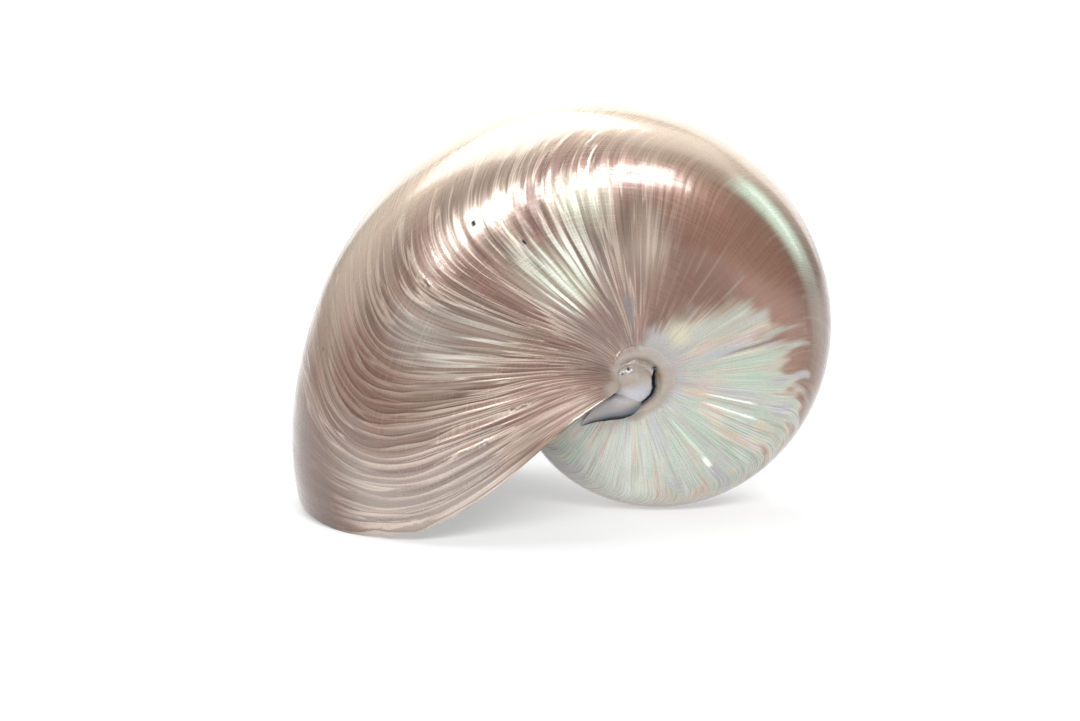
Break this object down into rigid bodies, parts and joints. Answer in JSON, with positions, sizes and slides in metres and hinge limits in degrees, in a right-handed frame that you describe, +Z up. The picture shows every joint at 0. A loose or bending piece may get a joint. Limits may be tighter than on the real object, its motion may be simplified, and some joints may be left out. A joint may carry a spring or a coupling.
{
  "type": "chambered nautilus shell",
  "caption": "Polished chambered nautilus shell: one coiled whorl with a flared open mouth, closed umbilicus and hollow living chamber, standing mouth down.",
  "frame": {"origin": "on the ground, under the middle of the shell's length and width", "axes": "+Z up as the shell stands, +Y along the coiling axis, +X from the mouth towards the coil"},
  "size_m": [0.1642, 0.0864, 0.1244],
  "materials": {
    "nacre": "gloss"
  },
  "bodies": {
    "root": {"shell": "nacre"}
  },
  "joints": []
}
